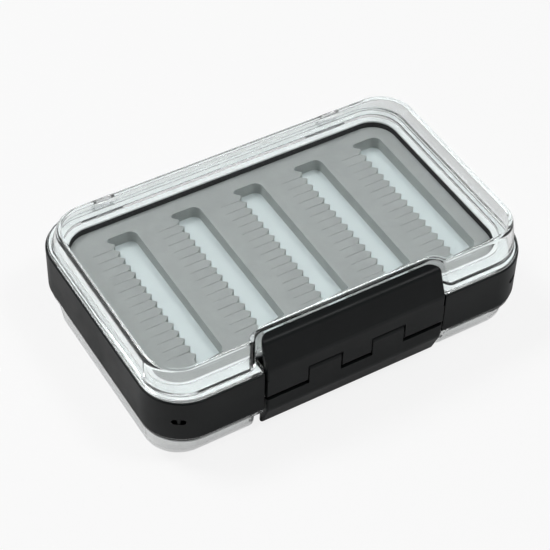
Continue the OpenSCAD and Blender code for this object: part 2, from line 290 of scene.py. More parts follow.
def new_mesh(name, shape, side=1):
    """A mesh object with its faces turned outwards."""
    points, faces = shape
    mesh = bpy.data.meshes.new(name)
    mesh.from_pydata(in_place(points, side).tolist(), [], faces)
    work = bmesh.new()
    work.from_mesh(mesh)
    bmesh.ops.recalc_face_normals(work, faces=work.faces)
    work.to_mesh(mesh)
    work.free()
    return put(name, mesh)


def settle(piece):
    """Turns the piece's modifiers into its mesh."""
    graph = bpy.context.evaluated_depsgraph_get()
    mesh = bpy.data.meshes.new_from_object(piece.evaluated_get(graph))
    piece.modifiers.clear()
    old, piece.data = piece.data, mesh
    bpy.data.meshes.remove(old)
    mesh.name = piece.name


def carve(piece, operation, shape, side=1):
    """Joins a shape to the piece, or cuts it away, as a solid."""
    tool = new_mesh("tool", shape, side)
    modifier = piece.modifiers.new("carve", "BOOLEAN")
    modifier.operation = operation
    modifier.solver = "EXACT"
    modifier.object = tool
    settle(piece)
    bpy.data.meshes.remove(tool.data)


def soften(piece):
    """Rounds the piece's edges where two faces meet at more than 50 degrees."""
    work = bmesh.new()
    work.from_mesh(piece.data)
    bmesh.ops.remove_doubles(work, verts=work.verts, dist=WELD)
    bmesh.ops.dissolve_limit(work, angle_limit=radians(0.5), verts=work.verts, edges=work.edges)
    work.to_mesh(piece.data)
    work.free()
    modifier = piece.modifiers.new("edges", "BEVEL")
    modifier.width = SOFT_EDGE
    modifier.segments = 2
    modifier.limit_method = "ANGLE"
    modifier.angle_limit = radians(50)
    modifier.miter_outer = "MITER_ARC"
    settle(piece)


def finish_piece(piece, material, body, node):
    """Shades the piece, gives it its material and slot, and lets it ride in the node's place."""
    mesh = piece.data
    mesh.polygons.foreach_set("use_smooth", np.ones(len(mesh.polygons), bool))
    mesh.set_sharp_from_angle(angle=SMOOTH_ANGLE)
    # Large flat faces keep their own direction, and the roundings beside them blend into it
    modifier = piece.modifiers.new("normals", "WEIGHTED_NORMAL")
    modifier.keep_sharp = True
    modifier.weight = 100
    settle(piece)
    mesh = piece.data
    mesh.materials.clear()
    mesh.materials.append(material)
    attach(piece, body)
    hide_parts(node)


def dress(node, material):
    """Gives a CAD node a material."""
    for slot in frame["nodes"][node].material_slots:
        slot.material = material


# ---- Materials ----


def new_material(name):
    """A material with its node tree and its main shader."""
    material = bpy.data.materials.new(name)
    material.use_nodes = True
    tree = material.node_tree
    return material, tree, tree.nodes["Principled BSDF"]


def add(tree, kind, links=None, **settings):
    """Adds a node. settings are its properties, or its inputs where a name ends in _in;
    links give what feeds each input, by name or number."""
    node = tree.nodes.new(kind)
    for name, value in settings.items():
        if name.endswith("_in"):
            node.inputs[name[:-3].replace("_", " ")].default_value = value
        else:
            setattr(node, name, value)
    for name, source in (links or {}).items():
        tree.links.new(source, node.inputs[name])
    return node


def pattern(tree, size, detail=2.0, roughness=0.5):
    """Noise whose grains are about size across, on Object coordinates in metres."""
    where = add(tree, "ShaderNodeTexCoord").outputs["Object"]
    return add(tree, "ShaderNodeTexNoise", {"Vector": where}, Scale_in=1 / size,
               Detail_in=detail, Roughness_in=roughness).outputs["Fac"]


def ramp(tree, value, low, high, to_low=0.0, to_high=1.0):
    """A value's range from low to high, stretched to another range and cut off beyond it."""
    return add(tree, "ShaderNodeMapRange", {"Value": value}, From_Min_in=low, From_Max_in=high,
               To_Min_in=to_low, To_Max_in=to_high).outputs["Result"]


def shade(tree, value, dark, light):
    """A colour that goes from dark to light with value."""
    mix = add(tree, "ShaderNodeMix", data_type="RGBA")
    tree.links.new(value, mix.inputs["Factor"])
    mix.inputs[6].default_value = (*dark, 1)
    mix.inputs[7].default_value = (*light, 1)
    return mix.outputs[2]


def relief(tree, shader, height, distance, strength):
    """Lets the shader's surface rise and fall by the distance with height."""
    bump = add(tree, "ShaderNodeBump", {"Height": height}, Distance_in=distance,
               Strength_in=strength)
    tree.links.new(bump.outputs["Normal"], shader.inputs["Normal"])


def times(base, factor):
    """A colour made lighter or darker."""
    return [min(1.0, c * factor) for c in base]


def fixed(shader, **values):
    """Sets the shader's inputs to values that are the same all over the surface."""
    for name, value in values.items():
        shader.inputs[name.replace("_", " ")].default_value = value


def mottled(tree, shader, base, size, dark, light, detail=2.0, low=0.3):
    """Gives the shader a base colour that wanders between dark and light times the base, in
    patches of a size."""
    patches = ramp(tree, pattern(tree, size, detail), low, 1 - low)
    tree.links.new(shade(tree, patches, times(base, dark), times(base, light)),
                   shader.inputs["Base Color"])


def rubbed(tree, shader, grain, smooth, rough):
    """Gives the shader a roughness that wanders between two values with the grain."""
    tree.links.new(ramp(tree, grain, 0.3, 0.7, smooth, rough), shader.inputs["Roughness"])


def surface(tree, share, first, second):
    """Makes the surface go from the first shader to the second with share."""
    mix = add(tree, "ShaderNodeMixShader", {0: share, 1: first, 2: second})
    tree.links.new(mix.outputs["Shader"], tree.nodes["Material Output"].inputs["Surface"])


def product(tree, value, factor):
    """A node's value times a number."""
    node = add(tree, "ShaderNodeMath", {0: value}, operation="MULTIPLY")
    node.inputs[1].default_value = factor
    return node.outputs[0]


def greatest(tree, first, *others):
    """The greatest of several nodes' values."""
    for other in others:
        first = add(tree, "ShaderNodeMath", {0: first, 1: other},
                    operation="MAXIMUM").outputs[0]
    return first


def moulded_abs(colours):
    """Black ABS from a lightly spark-eroded mould: a satin skin with a fine grain, and a
    little rubbed gloss in patches."""
    material, tree, shader = new_material("moulded_abs")
    mottled(tree, shader, colours.frame, 9 * MM, 0.9, 1.12, low=0.35)
    rubbed(tree, shader, pattern(tree, 14 * MM, 3.0), 0.36, 0.46)
    # Mould grain is about 0.05 mm; it is drawn at 0.25 mm so that it shows
    relief(tree, shader, pattern(tree, 0.25 * MM), 0.006 * MM, 0.6)
    fixed(shader, IOR=1.54, Specular_IOR_Level=0.18)
    return material


def clear_polycarbonate(colours):
    """Clear polished polycarbonate: it bends what lies behind its edges, and its faces carry
    the faint waviness of a moulding. Lamps reach through it."""
    material, tree, shader = new_material("clear_polycarbonate")
    fixed(shader, Base_Color=(*colours.lid, 1), Transmission_Weight=1.0, Roughness=0.02,
          IOR=1.58)
    relief(tree, shader, pattern(tree, 18 * MM, 0.0), 0.004 * MM, 0.3)
    through = add(tree, "ShaderNodeBsdfTransparent", Color_in=(*times(colours.lid, 0.97), 1))
    path = add(tree, "ShaderNodeLightPath").outputs["Is Shadow Ray"]
    surface(tree, path, shader.outputs["BSDF"], through.outputs["BSDF"])
    return material


def closed_cell_foam(colours):
    """Closed-cell EVA foam: a dull, evenly pored skin on top. Steep faces take a paler colour,
    which is painted light: it lightens the slot walls and paints highlights along the knife cuts."""
    material, tree, shader = new_material("closed_cell_foam")
    normal = add(tree, "ShaderNodeNewGeometry").outputs["Normal"]
    up = add(tree, "ShaderNodeSeparateXYZ", {"Vector": normal}).outputs["Z"]
    # The steeper a face, the more of the paler wall colour it takes: painted light on the slot
    # walls and painted highlights on the lips of the knife cuts
    skin = ramp(tree, add(tree, "ShaderNodeMath", {0: up}, operation="ABSOLUTE").outputs[0],
                0.3, 0.9)
    mottle = ramp(tree, pattern(tree, 5 * MM, 4.0, 0.6), 0.3, 0.7)
    top = shade(tree, mottle, times(colours.foam, 0.95), times(colours.foam, 1.05))
    wall = shade(tree, mottle, times(colours.foam_wall_and_highlight, 0.93), times(colours.foam_wall_and_highlight, 1.05))
    mix = add(tree, "ShaderNodeMix", data_type="RGBA")
    tree.links.new(skin, mix.inputs["Factor"])
    tree.links.new(wall, mix.inputs[6])
    tree.links.new(top, mix.inputs[7])
    tree.links.new(mix.outputs[2], shader.inputs["Base Color"])
    # Cells are about 0.1 mm; they are drawn at 0.35 mm so that they show
    where = add(tree, "ShaderNodeTexCoord").outputs["Object"]
    cells = add(tree, "ShaderNodeTexVoronoi", {"Vector": where}, Scale_in=1 / (0.35 * MM))
    relief(tree, shader, cells.outputs["Distance"], 0.05 * MM, 0.5)
    fixed(shader, Roughness=0.88, Specular_IOR_Level=0.35, Sheen_Weight=0.08,
          Sheen_Roughness=0.5)
    return material


def pale_sheet(colours):
    """Pale injection-moulded divider: smooth and slightly shiny, with faint flow marks."""
    material, tree, shader = new_material("pale_sheet")
    mottled(tree, shader, colours.panel, 12 * MM, 0.97, 1.02, 3.0)
    rubbed(tree, shader, pattern(tree, 3 * MM), 0.42, 0.52)
    relief(tree, shader, pattern(tree, 0.4 * MM), 0.006 * MM, 0.5)
    return material


def silicone_rubber(colours):
    """Milky silicone seal: light goes a little way in, and the surface is soft and even."""
    material, tree, shader = new_material("silicone_rubber")
    mottled(tree, shader, colours.seal, 6 * MM, 0.97, 1.02)
    fixed(shader, Roughness=0.4, Subsurface_Weight=0.25, Subsurface_Radius=(1.0, 1.0, 1.0),
          Subsurface_Scale=0.8 * MM)
    relief(tree, shader, pattern(tree, 0.5 * MM), 0.005 * MM, 0.5)
    return material


def adhesive_film(colours):
    """Edge of double-sided adhesive sheet: dull and slightly fibrous."""
    material, tree, shader = new_material("adhesive_film")
    mottled(tree, shader, colours.glue, 1.5 * MM, 0.93, 1.0, 3.0)
    fixed(shader, Roughness=0.7)
    return material


def drawn_wire(colours):
    """Drawn stainless wire: fine scratches run along it."""
    material, tree, shader = new_material("drawn_wire")
    where = add(tree, "ShaderNodeTexCoord").outputs["Object"]
    along = add(tree, "ShaderNodeMapping", {"Vector": where}, Scale_in=(0.04, 1, 1))
    lines = add(tree, "ShaderNodeTexNoise", {"Vector": along.outputs["Vector"]},
                Scale_in=1 / (0.15 * MM)).outputs["Fac"]
    fixed(shader, Base_Color=(*colours.steel, 1), Metallic=1.0)
    rubbed(tree, shader, lines, 0.25, 0.4)
    relief(tree, shader, lines, 0.002 * MM, 0.5)
    return material


# ---- Frame ----

LATCH_GAP = 0.5 * MM  # room round a latch, to a lid's flange and the frame behind it
LATCH_SEAM = 0.9 * MM  # between a latch's side and the frame, as it shows
NOTCH_BACK_R = 0.6 * MM  # corner radius at the back of the frame's latch notch
PIN_BITE = 5 * MM  # how far the latch pin's bore goes into the frame
HINGE_X = 48 * MM  # middle of a lid hinge from the middle of the box
HINGE_LID = 6 * MM  # width of a lid's arm
HINGE_FRAME = 5 * MM  # width of a knuckle of the frame
HINGE_GAP = 0.25 * MM  # between an arm and the knuckles beside it
HINGE_CLEAR = 0.35 * MM  # between an arm's knuckle and the frame round it
HINGE_POCKET = 9 * MM  # length of the room for an arm, out through the frame's back
KNUCKLE_CHAMFER = 0.3 * MM
SEAL_EDGE = 0.95 * MM  # from the seal's step to a notch
PIN_CLEAR = 0.06 * MM  # between a pin and its bore
EYE_ANGLE = radians(33)  # from straight ahead to the way a cord pocket faces
EYE_SIZE = (5.2 * MM, 4 * MM, 2.4 * MM)  # a cord pocket's width, depth and height
EYE_POST = 0.75 * MM  # radius of the post in a cord pocket
EYE_SUNK = 0.2 * MM  # how far the post stands back from the frame's face


def frame_moulding(s):
    """The frame's cross-section carried round the box: outside wall with rounded rims,
    inside wall and the groove that holds the divider."""
    outer = rectangle(HALF_L, 0, s.body_depth)
    inner = rectangle(HALF_L - s.side_wall, s.front_wall, s.body_depth - s.back_wall)

    def out(inset, z):
        """Outside of the frame at a height."""
        return at_height(outline(outer, [s.corner_radius] * 4, inset), z)

    def inside(inset, z):
        """Opening of the frame at a height."""
        return at_height(outline(inner, [s.opening_radius] * 4, inset), z)

    half = [inside(-s.groove_depth, PANEL_TOP), inside(0, PANEL_TOP), inside(0, HALF_H)]
    half += [out(inset, HALF_H - down) for inset, down in quarter(s.rim_radius)]
    mirrored = [ring * (1, 1, -1) for ring in half[::-1]]
    return loft(half + mirrored, round_again=True)


def seal_step(s, side):
    """Room for the seal: everything inside its outline, which keeps clear of the notches."""
    inset, half = s.seal_inset, LATCH_HALF + LATCH_GAP + SEAL_EDGE
    front = PIN_Y + s.knuckle_radius + LATCH_GAP + SEAL_EDGE
    back, arm = s.body_depth - inset, HINGE_LID / 2 + HINGE_GAP + SEAL_EDGE
    step = HINGE_Y - s.hinge_radius - HINGE_CLEAR - SEAL_EDGE
    corners = [(HALF_L - inset, inset), (HALF_L - inset, back)]
    for x in (HINGE_X, -HINGE_X):
        corners += [(x + arm, back), (x + arm, step), (x - arm, step), (x - arm, back)]
    corners += [(inset - HALF_L, back), (inset - HALF_L, inset), (-half, inset),
                (-half, front), (half, front), (half, inset)]
    sharp = LEAST_RADIUS
    corner = s.corner_radius - inset
    radii = [corner] * 2 + [sharp] * 8 + [corner] * 2 + [sharp] * 4
    flat = outline(corners, radii)
    return loft([at_height(flat, side * z) for z in (HALF_H - s.seal_step, HALF_H + PAST)])


def knuckle_stations():
    """(x, z) of the middle of each lid knuckle."""
    return [(x * HINGE_X, z * HINGE_Z) for x in (-1, 1) for z in (-1, 1)]


def turned(points, s, side):
    """Turns a shape that is drawn straight ahead of a front corner to the corner's diagonal."""
    x, y, z = np.asarray(points).T
    turn = side * EYE_ANGLE
    return np.column_stack([
        side * (HALF_L - s.corner_radius) + x * cos(turn) - y * sin(turn),
        s.corner_radius + x * sin(turn) + y * cos(turn), z])


def cord_pocket(s, side):
    """Pocket in a front corner of the frame, with a mouth like a slot with round ends."""
    width, depth, height = EYE_SIZE
    face = -s.corner_radius
    x, z = outline(rectangle(width / 2, -height / 2, height / 2), [0.49 * height] * 4, 0,
                   SMALL_ARC).T
    points, faces = loft([np.column_stack([x, np.full(len(x), y), z])
                          for y in (face - 2 * PAST, face + depth)])
    return turned(points, s, side), faces


def cord_post(s, side):
    """Upright post in the mouth of the pocket, for the cord to go round."""
    height = EYE_SIZE[2]
    circle = arc(0, EYE_POST + EYE_SUNK - s.corner_radius, EYE_POST, 0, 345, 24)
    points, faces = loft([at_height(circle, z)
                          for z in (-height / 2 - PAST, height / 2 + PAST)])
    return turned(points, s, side), faces


def latch_notch(s):
    """Room for the latches in the frame's front wall, right through it."""
    half = LATCH_HALF + LATCH_SEAM
    back = PIN_Y + s.knuckle_radius + LATCH_GAP
    flat = outline(rectangle(half, -5 * PAST, back), [NOTCH_BACK_R] * 4, 0, SMALL_ARC)
    return loft([at_height(flat, z) for z in (-2 * HALF_H, 2 * HALF_H)])


def make_frame(s, materials):
    """The moulding with its steps, notches and pockets cut, its knuckles and posts added and
    its pin bores drilled."""
    piece = new_mesh("frame_moulding", frame_moulding(s))
    half = HINGE_LID / 2 + HINGE_GAP
    front = HINGE_Y - s.hinge_radius - HINGE_CLEAR
    low = HINGE_Z - s.hinge_radius - HINGE_CLEAR
    cuts = [latch_notch(s), cord_pocket(s, 1), cord_pocket(s, -1)]
    carve(piece, "DIFFERENCE", merged(seal_step(s, 1), seal_step(s, -1)))
    for x, z in knuckle_stations():
        up, back = np.sign(z), front + HINGE_POCKET
        box = [(front, up * low), (back, up * low), (back, up * 2 * HALF_H),
               (front, up * 2 * HALF_H)]
        cuts.append(extrusion(box, x - half, x + half))
    carve(piece, "DIFFERENCE", merged(*cuts))
    knuckles = [rod(HINGE_Y, z, s.hinge_radius, x0, x0 + HINGE_FRAME, KNUCKLE_CHAMFER)
                for x, z in knuckle_stations() for x0 in (x - half - HINGE_FRAME, x + half)]
    carve(piece, "UNION", merged(*knuckles, cord_post(s, 1), cord_post(s, -1)))
    reach = LATCH_HALF + LATCH_GAP + PIN_BITE
    bores = [rod(PIN_Y, 0, s.pin_radius, -reach, reach)]
    bores += [rod(HINGE_Y, z, s.pin_radius, x - half - HINGE_FRAME - PAST,
                  x + half + HINGE_FRAME + PAST) for x, z in knuckle_stations()]
    carve(piece, "DIFFERENCE", merged(*bores))
    soften(piece)
    finish_piece(piece, materials["abs"], "frame", "frame_ring")


# ---- Foam ----

SLOT_SHIFT = 1.3 * MM  # from a slot's place in the row to the roots of its teeth
SLOT_R = 3 * MM  # corner radius at a slot's plain side
TOOTH_SIDE_R = 1.5 * MM  # corner radius at its toothed side
SLOT_ARC = 9  # points along a slot's corner
TOOTH_TIP = 0.05 * MM  # flat at the tip of a tooth
SLIT_MOUTH = 0.06 * MM  # half the width of a knife cut at its mouth
SLIT_TIP = 0.03 * MM  # and at its end
FOAM_EDGE = 0.06 * MM  # rounding of the foam's upper edges
FOAM_R = 9.7 * MM  # corner radius of the foam
FOAM_ARC = 17  # points along a corner of the foam
LEAST_SHARE = 0.35  # keeps a loop's sharp points from running far out when it grows


def slot_outline(s, middle):
    """Outline of a slot, counter-clockwise: plain right side with round corners, then the
    toothed left side, where a knife cut runs off from the root between two teeth."""
    left = middle - SLOT_SHIFT
    right = left + s.slot_width
    y = (FOAM_LOW.y + FOAM_HIGH.y) / 2 - FRONT_Y
    half = s.slot_length / 2
    body = outline([(left, y - half), (right, y - half), (right, y + half), (left, y + half)],
                   [TOOTH_SIDE_R, SLOT_R, SLOT_R, TOOTH_SIDE_R], 0, SLOT_ARC)
    roots = y + s.tooth_pitch * (s.tooth_count / 2 - np.arange(s.tooth_count + 1))
    teeth = []
    for number, root in enumerate(roots):
        if 0 < number < s.tooth_count:
            teeth += [(left, root + SLIT_MOUTH), (left - s.slit_length, root + SLIT_TIP),
                      (left - s.slit_length, root - SLIT_TIP), (left, root - SLIT_MOUTH)]
        if number < s.tooth_count:
            tip = left + s.tooth_depth
            teeth += [(tip - TOOTH_TIP, root - s.tooth_pitch / 2 + TOOTH_TIP),
                      (tip, root - s.tooth_pitch / 2),
                      (tip - TOOTH_TIP, root - s.tooth_pitch / 2 - TOOTH_TIP)]
    return np.concatenate([body, np.array(teeth)])


def grown(loop, distance):
    """A closed counter-clockwise loop moved outwards, each point along the mean of its two
    sides' normals, so far that both sides move by the distance."""
    step = np.roll(loop, -1, axis=0) - loop
    step /= np.linalg.norm(step, axis=1, keepdims=True)
    normal = np.stack([step[:, 1], -step[:, 0]], 1)
    before = np.roll(normal, 1, axis=0)
    share = np.maximum(1 + (normal * before).sum(1), LEAST_SHARE)
    return loop + distance * (normal + before) / share[:, None]


def foam_insert(s):
    """Slab with slots: the outer outline and each slot's outline carried from bottom to top
    with a rounded upper edge, and flat faces between them, filled by triangulation."""
    low, high = FOAM_LOW.z - MID_Z, FOAM_HIGH.z - MID_Z
    edge = quarter(FOAM_EDGE, 4)[::-1]
    outer_corners = rectangle(FOAM_HIGH.x, FOAM_LOW.y - FRONT_Y, FOAM_HIGH.y - FRONT_Y)
    outer = outline(outer_corners, [FOAM_R] * 4, 0, FOAM_ARC)
    middles = (np.arange(s.slot_count) - (s.slot_count - 1) / 2) * s.slot_pitch
    loops = [(outer, -1)] + [(slot_outline(s, middle), 1) for middle in middles]
    points, faces, start = [], [], 0
    floor_loops, top_loops = [], []
    for loop, way in loops:
        rings = [at_height(loop, low)]
        rings += [at_height(grown(loop, way * inset), high - down) for inset, down in edge]
        size = len(loop)
        index = start + np.arange(len(rings) * size).reshape(len(rings), size)
        quads = np.stack([index[:-1], np.roll(index[:-1], -1, 1), np.roll(index[1:], -1, 1),
                          index[1:]], -1)
        faces += quads.reshape(-1, 4).tolist()
        points.append(np.concatenate(rings))
        floor_loops.append(index[0])
        top_loops.append(index[-1])
        start += len(rings) * size
    points = np.concatenate(points)
    for level in (floor_loops, top_loops):
        faces += filled(points, level)
    return points, faces


def filled(points, loops):
    """Triangles between an outer loop of point numbers and the loops of its holes."""
    numbers = np.concatenate(loops)
    rows = [[Vector((*points[n][:2] / MM, 0)) for n in loop] for loop in loops]
    return numbers[np.array(tessellate_polygon(rows))].tolist()


def make_foam(s, materials):
    """Both foams, each a soft piece that fills its place."""
    for name, _, side in SIDES:
        piece = new_mesh(f"{name}_foam_insert", foam_insert(s), side)
        finish_piece(piece, materials["foam"], "frame", f"{name}_foam")


# ---- Lids ----

RECESS_SLOPE = 0.59  # how far the latch recess opens sideways for each step forward
RECESS_R = 5 * MM  # corner radius at the back of the recess
MOUTH_R = 3 * MM  # and at its mouth
NOTCH_Y = 8 * MM  # back of the flange's latch notch
NOTCH_R = 1.2 * MM  # corner radius of that notch
FOOT_R = 0.2 * MM  # fillet between the flange and the wall outside
FLANGE_EDGE = 0.2 * MM  # rounding of the flange's edges
INNER_FOOT_R = 0.3 * MM  # rounding of the wall's foot inside
INNER_EDGE = 0.25 * MM  # fillet between the wall and the top inside
FLANGE_OPEN = 2 * MM  # from the frame's opening to the flange's
OPEN_SIDE = 1.5 * MM  # how much the flange's opening widens towards the front there
OPEN_CLEAR = 0.1 * MM  # between the recess's wall and the flange's opening
OPEN_R = 0.3 * MM  # corner radius of the flange's opening at the recess
TOP_EDGE_POINTS = 9
RIB_HALF = 18 * MM  # half the length of the rib that catches the latch
RIB_Z = (15.6 * MM, 17.4 * MM)  # its lower and upper edge
RIB_PROUD = 0.55 * MM  # how far it stands out
ARM_DROP = 0.15 * MM  # from the flange's upper face down to an arm's
ARM_SLANT = 0.8 * MM  # how far an arm's back slants in, and how high its front starts to
ARM_ROOT = 0.3 * MM  # how far an arm's front slants in


def with_recess(half_l, y0, y1, mouth, half, back):
    """Corners of a rectangle whose front side steps back for the latch."""
    return rectangle(half_l, y0, y1) + [(-mouth, y0), (-half, back), (half, back), (mouth, y0)]


def lid_wall(s, z, inset):
    """Outline of the lid's wall at a height: it leans in from its foot to its top edge."""
    seat = HALF_H + s.lid_gap
    lean = min(1.0, (z - seat) / (LID_TOP - s.lid_edge - seat))
    lip = s.flange_inset + s.flange_lip
    front = lip + lean * s.lean_front
    back = s.body_depth - s.flange_back - s.flange_lip - lean * s.lean_back
    mouth = s.recess_half + RECESS_SLOPE * (s.recess_y - front)
    corners = with_recess(HALF_L - lip - lean * s.lean_side, front, back, mouth,
                          s.recess_half, s.recess_y)
    corner = s.corner_radius - lip - lean * s.lean_front / 2
    radii = [corner] * 4 + [MOUTH_R, RECESS_R, RECESS_R, MOUTH_R]
    return at_height(outline(corners, radii, inset), z)


def flange_edge(s, z, inset):
    """Outline of the flange, with the latch notch in its front."""
    notch = LATCH_HALF + LATCH_GAP
    corners = with_recess(HALF_L - s.flange_inset, s.flange_inset,
                          s.body_depth - s.flange_back, notch, notch, NOTCH_Y)
    radii = [s.corner_radius - s.flange_inset] * 4 + [NOTCH_R] * 4
    return at_height(outline(corners, radii, inset), z)


def flange_opening(s, z, inset):
    """Outline of the flange's opening, just outside the frame's."""
    front = s.front_wall - FLANGE_OPEN
    wall = s.recess_y + s.lid_wall + INNER_FOOT_R + FLANGE_EDGE + OPEN_CLEAR
    corners = with_recess(HALF_L - s.side_wall + FLANGE_OPEN, front,
                          s.body_depth - s.back_wall + FLANGE_OPEN, s.recess_half + OPEN_SIDE,
                          s.recess_half, wall)
    radii = [s.opening_radius + FLANGE_OPEN] * 4 + [OPEN_R] * 4
    return at_height(outline(corners, radii, inset), z)


def lid_shell(s):
    """One closed skin of outlines, from the middle of the lid's top over its edge, down the
    wall, round the flange and up the inside to the underside of the top."""
    seat = HALF_H + s.lid_gap
    shelf = seat + s.flange
    ceiling = LID_TOP - s.lid_wall
    rings = [lid_wall(s, LID_TOP - down, inset)
             for inset, down in quarter(s.lid_edge, TOP_EDGE_POINTS)]
    rings += [lid_wall(s, shelf + FOOT_R - down, inset - FOOT_R)
              for inset, down in [(FOOT_R - a, FOOT_R - b) for a, b in quarter(FOOT_R)][::-1]]
    rings += [flange_edge(s, shelf - down, inset) for inset, down in quarter(FLANGE_EDGE)]
    rings += [flange_edge(s, seat + down, inset) for inset, down in quarter(FLANGE_EDGE)[::-1]]
    rings += [flange_opening(s, seat + down, -inset) for inset, down in quarter(FLANGE_EDGE)]
    rings += [flange_opening(s, shelf - down, -inset)
              for inset, down in quarter(FLANGE_EDGE)[::-1]]
    rings += [lid_wall(s, shelf + rise, s.lid_wall + inset)
              for inset, rise in quarter(INNER_FOOT_R)]
    rings += [lid_wall(s, ceiling - down, s.lid_wall + inset)
              for inset, down in quarter(INNER_EDGE)[::-1]]
    return loft(rings)


def hinge_arm(s, x):
    """Arm from the flange's back edge down to its knuckle."""
    y, z, r = HINGE_Y, HINGE_Z, s.hinge_radius
    seat = HALF_H + s.lid_gap
    profile = np.concatenate([
        arc(y, z, r, 180, 360, 25),
        [(y + r - ARM_SLANT, seat), (y - ARM_SLANT, seat + s.flange - ARM_DROP),
         (y - r + ARM_ROOT, seat + s.flange - ARM_DROP), (y - r, seat + ARM_SLANT)]])
    return extrusion(profile, x - HINGE_LID / 2, x + HINGE_LID / 2)


def make_lids(s, materials):
    """Both lids: the shell with its arms and rib joined on, and its pin bores drilled."""
    for name, body, side in SIDES:
        piece = new_mesh(f"{name}_lid_moulding", lid_shell(s), side)
        front, back = s.recess_y - RIB_PROUD, s.recess_y + PAST
        rib = [(front, RIB_Z[0]), (back, RIB_Z[0]), (back, RIB_Z[1]), (front, RIB_Z[1])]
        carve(piece, "UNION", merged(hinge_arm(s, -HINGE_X), hinge_arm(s, HINGE_X),
                                     extrusion(rib, -RIB_HALF, RIB_HALF)), side)
        bores = [rod(HINGE_Y, HINGE_Z, s.pin_radius + PIN_CLEAR, x - HINGE_LID, x + HINGE_LID)
                 for x in (-HINGE_X, HINGE_X)]
        carve(piece, "DIFFERENCE", merged(*bores), side)
        finish_piece(piece, materials["lid"], f"{body}_lid", f"{name}_lid")


# ---- Latches ----

PLATE_Z = 4.4 * MM  # lower edge of a plate above the pin
CREST_R = 2.4 * MM  # rounding where a plate turns into its lip
BEND_R = 8 * MM  # rounding of a plate's bend
LATCH_TILT = 15  # degrees that a plate leans back above its bend
LIP_UNDER = 0.3 * MM  # chamfer under the lip's end
LATCH_STATIONS = 56  # rings from a plate's lower edge to the end of its lip
KNUCKLE_CORNER = 1.8 * MM  # rounding of a knuckle's front at its free edge
KNUCKLE_ROOT = 5.4 * MM  # how far a knuckle reaches up into its plate
SWEEP_R = 4.8 * MM  # room that the other latch's knuckles need round the pin
MID_KNUCKLE = 11.8 * MM  # width of the middle knuckle
NEXT_KNUCKLE = 12.8 * MM  # width of the knuckles beside it
KNUCKLE_GAP = 0.6 * MM  # between two knuckles
KNUCKLE_BACK = 0.1 * MM  # how far a knuckle's back stays inside its plate


def resampled(path, count):
    """A path's points spread evenly along its length."""
    path = np.asarray(path, float)
    reach = np.concatenate([[0], np.cumsum(np.linalg.norm(np.diff(path, axis=0), axis=1))])
    even = np.linspace(0, reach[-1], count)
    return np.stack([np.interp(even, reach, column) for column in path.T], 1)


def latch_paths(s):
    """(y, z) of the plate's outer and inner face: up from its lower edge, leaning back above
    the bend, over the crest and back to the rounded end of the lip."""
    face, top, thick, end = LATCH_FACE, LATCH_TOP, s.latch_thickness, s.latch_edge
    crest = face + s.latch_lean + CREST_R
    bend = arc(face + BEND_R, s.latch_bend - BEND_R * tan(radians(LATCH_TILT / 2)), BEND_R,
               180, 180 - LATCH_TILT, 6)
    outer = np.concatenate([
        [(face, PLATE_Z)], bend, arc(crest, top - CREST_R, CREST_R, 180 - LATCH_TILT, 90, 10),
        arc(LIP_END - end, top - end, end, 90, 0, 6), [(LIP_END, top - thick + LIP_UNDER)]])
    inner = [(face + thick, PLATE_Z), (face + thick, s.latch_bend),
             (face + s.latch_lean + thick, top - thick), (LIP_END - LIP_UNDER, top - thick)]
    return resampled(outer, LATCH_STATIONS), resampled(inner, LATCH_STATIONS)


def latch_plate(s):
    """The plate's cross-section carried across its width: at each station the outer face
    runs from side to side and drops in a quarter round at both edges, and the inner face
    closes the ring. The half-width shrinks along a circle towards the end of the lip."""
    outer, inner = latch_paths(s)
    corner = s.latch_corner

    def half_width(y):
        """Half the plate's width at a depth."""
        past = np.clip(y - (LIP_END - corner), 0, corner)
        return LATCH_HALF - corner + np.sqrt(corner ** 2 - past ** 2)

    step = np.gradient(outer, axis=0)
    step /= np.linalg.norm(step, axis=1, keepdims=True)
    inward = np.stack([step[:, 1], -step[:, 0]], 1)
    round_in, round_down = np.array(quarter(s.latch_edge, 5)).T[:, ::-1]
    half = half_width(outer[:, 0])[:, None]
    across = np.concatenate([round_in - half, (half - round_in)[:, ::-1]], axis=1)
    drop = np.concatenate([round_down, round_down[::-1]])
    face = outer[:, None, :] + drop[None, :, None] * inward[:, None, :]
    face = np.concatenate([across[:, :, None], face], axis=2)
    half = half_width(inner[:, 0])
    back = np.stack([np.column_stack([half, inner]), np.column_stack([-half, inner])], axis=1)
    return loft(np.concatenate([face, back], axis=1))


def latch_knuckle(s, x0, x1):
    """Knuckle with a flat front, a small round at its free edge and a barrel behind it."""
    face, r, c = LATCH_FACE, s.knuckle_radius, KNUCKLE_CORNER
    profile = np.concatenate([
        [(face, KNUCKLE_ROOT)], arc(face + c, c - r, c, 180, 270, 6),
        arc(PIN_Y, 0, r, 270, 470, 40),
        [(face + s.latch_thickness - KNUCKLE_BACK, KNUCKLE_ROOT)]])
    return extrusion(profile, x0, x1)


